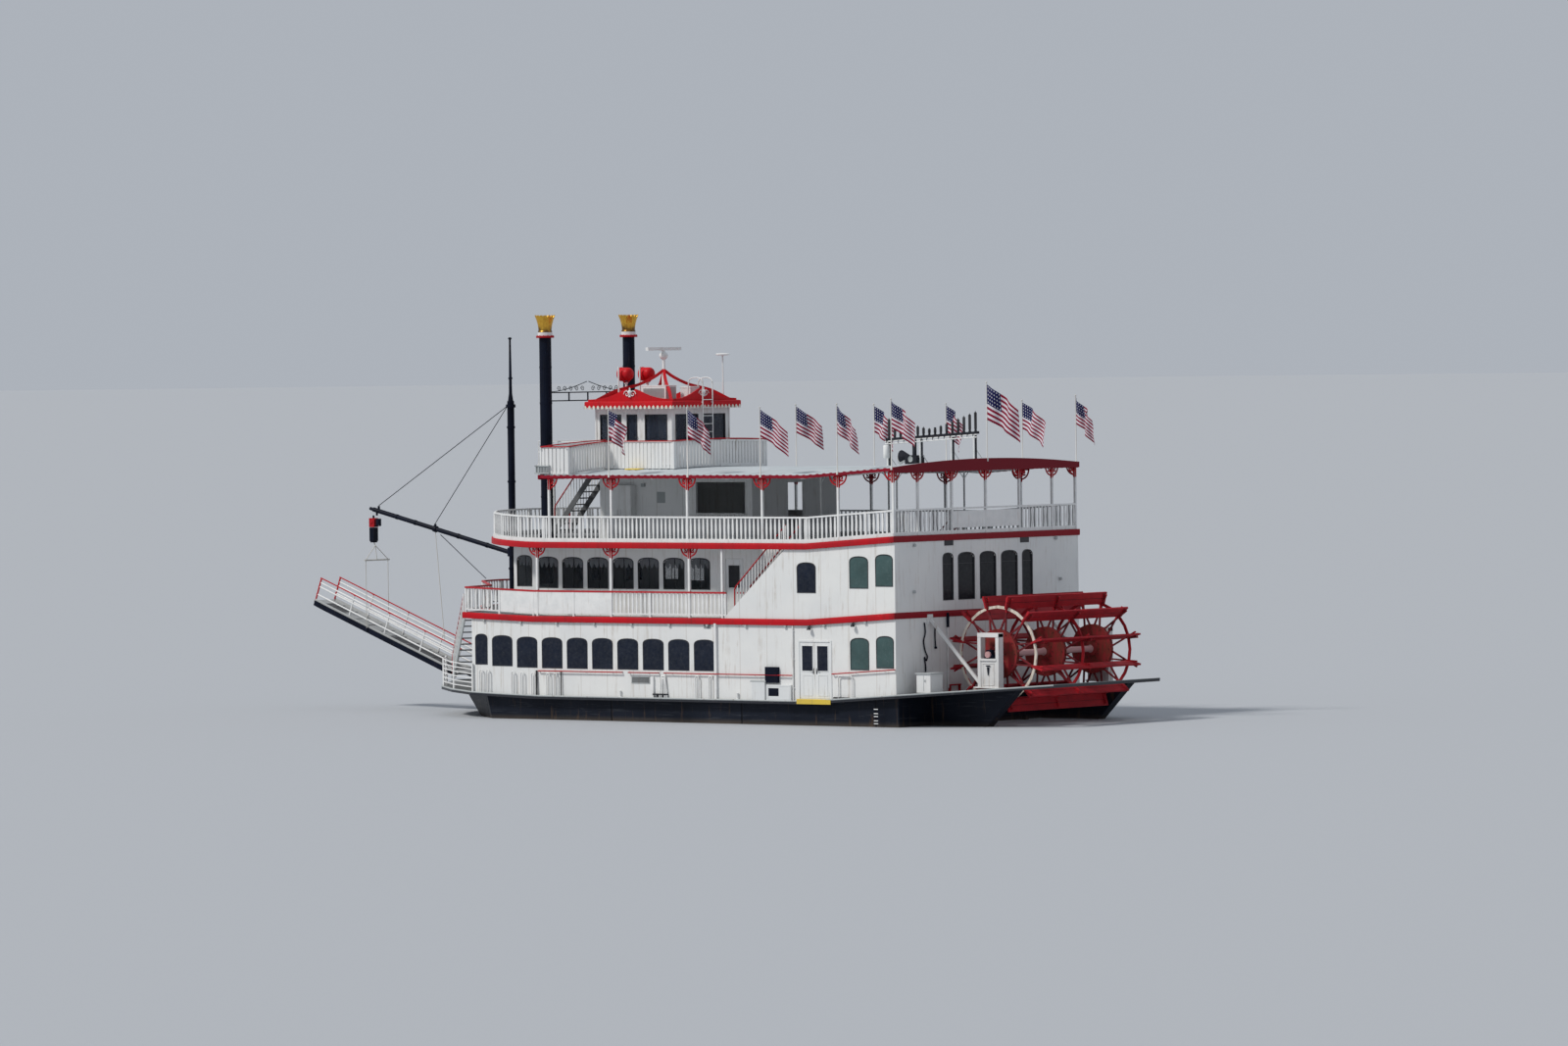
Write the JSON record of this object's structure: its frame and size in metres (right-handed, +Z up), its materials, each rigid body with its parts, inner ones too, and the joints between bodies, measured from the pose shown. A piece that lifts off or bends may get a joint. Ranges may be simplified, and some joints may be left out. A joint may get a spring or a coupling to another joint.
{
  "type": "stern-wheel paddle steamer",
  "caption": "River excursion boat driven by a stern paddle wheel, with open decks, tall stacks and a bow landing stage.",
  "frame": {"origin": "on the flat bottom of the hull, on the centreline, 10 m ahead of the stern wall", "axes": "+X to the bow, +Y to port, +Z up"},
  "size_m": [36.4727, 10.9759, 15.55],
  "materials": {
    "white_paint": "white gloss paint, weathered",
    "red_paint": "bright red gloss paint",
    "black_paint": "blue-black hull paint",
    "gilt": "gold paint",
    "grey_paint": "light grey roofing and deck paint",
    "machinery": "grey machinery paint",
    "rope": "white rope and painted steel"
  },
  "bodies": {
    "boat": {"aft_cabin_port": "white_paint", "aft_cabin_starboard": "white_paint", "aft_cabin_stern": "white_paint", "aft_locker": "grey_paint", "bearing_frame_port": "white_paint", "bearing_frame_starboard": "white_paint", "bow_rail_port": "white_paint", "bow_rail_starboard": "white_paint", "bow_stair_port": "white_paint", "bow_stair_starboard": "white_paint", "canopy_fascia": "red_paint", "canopy_roof": "grey_paint", "crown_port": "gilt", "crown_starboard": "gilt", "deckhouse": "white_paint", "engine": "machinery", "fore_cabin_front": "white_paint", "fore_cabin_port": "white_paint", "fore_cabin_starboard": "white_paint", "hull": "black_paint", "main_cabin_front": "white_paint", "main_cabin_port": "white_paint", "main_cabin_starboard": "white_paint", "main_cabin_stern": "white_paint", "main_deck": "black_paint", "mast": "black_paint", "pilot_bulwark": "white_paint", "pilot_deck": "white_paint", "pilot_stair": "black_paint", "pilothouse": "white_paint", "pilothouse_roof": "red_paint", "second_deck": "red_paint", "second_railing": "white_paint", "side_stair_port": "white_paint", "side_stair_starboard": "white_paint", "stack_port": "black_paint", "stack_spreader": "black_paint", "stack_starboard": "black_paint", "steam_organ": "grey_paint", "top_deck": "red_paint", "top_railing": "white_paint"},
    "wheel": {"wheel_shaft": "red_paint", "paddle_wheel": "red_paint"},
    "rudder_port": {"rudder_port": "black_paint"},
    "rudder_starboard": {"rudder_starboard": "black_paint"},
    "boom": {"boom": "black_paint", "boom_stays": "black_paint", "hoist": "rope", "heel_rope": "rope"},
    "stage": {"stage": "grey_paint", "stage_rail_port": "white_paint", "stage_rail_starboard": "white_paint"},
    "radar": {"radar_scanner": "white_paint"},
    "door_port_fore": {"door_port_fore": "white_paint"},
    "door_port_aft": {"door_port_aft": "white_paint"},
    "door_starboard_fore": {"door_starboard_fore": "white_paint"},
    "door_starboard_aft": {"door_starboard_aft": "white_paint"}
  },
  "joints": [
    {"name": "wheel_spin", "type": "hinge", "parent": "boat", "child": "wheel", "pos_m": [-12.5, 0, 3.5], "axis": [0, 1, 0], "continuous": true},
    {"name": "boom_slew", "type": "hinge", "parent": "boat", "child": "boom", "pos_m": [11.97, 0, 6.85], "axis": [0, 0, 1], "range_deg": [-30, 30]},
    {"name": "stage_pitch", "type": "hinge", "parent": "boom", "child": "stage", "pos_m": [14.26, 0, 2.39], "axis": [0, 1, 0], "range_deg": [0, 24]},
    {"name": "rudder_port_turn", "type": "hinge", "parent": "boat", "child": "rudder_port", "pos_m": [-10.33, 1.6, 1], "axis": [0, 0, 1], "range_deg": [-35, 35]},
    {"name": "rudder_starboard_turn", "type": "hinge", "parent": "boat", "child": "rudder_starboard", "pos_m": [-10.33, -1.6, 1], "axis": [0, 0, 1], "range_deg": [-35, 35]},
    {"name": "door_port_fore_swing", "type": "hinge", "parent": "boat", "child": "door_port_fore", "pos_m": [-5.746, 5.33, 2.9], "axis": [0, 0, -1], "range_deg": [0, 100]},
    {"name": "door_port_aft_swing", "type": "hinge", "parent": "boat", "child": "door_port_aft", "pos_m": [-7.094, 5.33, 2.9], "axis": [0, 0, 1], "range_deg": [0, 100]},
    {"name": "door_starboard_fore_swing", "type": "hinge", "parent": "boat", "child": "door_starboard_fore", "pos_m": [-5.746, -5.33, 2.9], "axis": [0, 0, 1], "range_deg": [0, 100]},
    {"name": "door_starboard_aft_swing", "type": "hinge", "parent": "boat", "child": "door_starboard_aft", "pos_m": [-7.094, -5.33, 2.9], "axis": [0, 0, -1], "range_deg": [0, 100]},
    {"name": "radar_spin", "type": "hinge", "parent": "boat", "child": "radar", "pos_m": [4.65, 0, 14.25], "axis": [0, 0, 1], "continuous": true}
  ],
  "couplings": [
    {"joint": "rudder_starboard_turn", "follows": "rudder_port_turn", "ratio": 1}
  ]
}
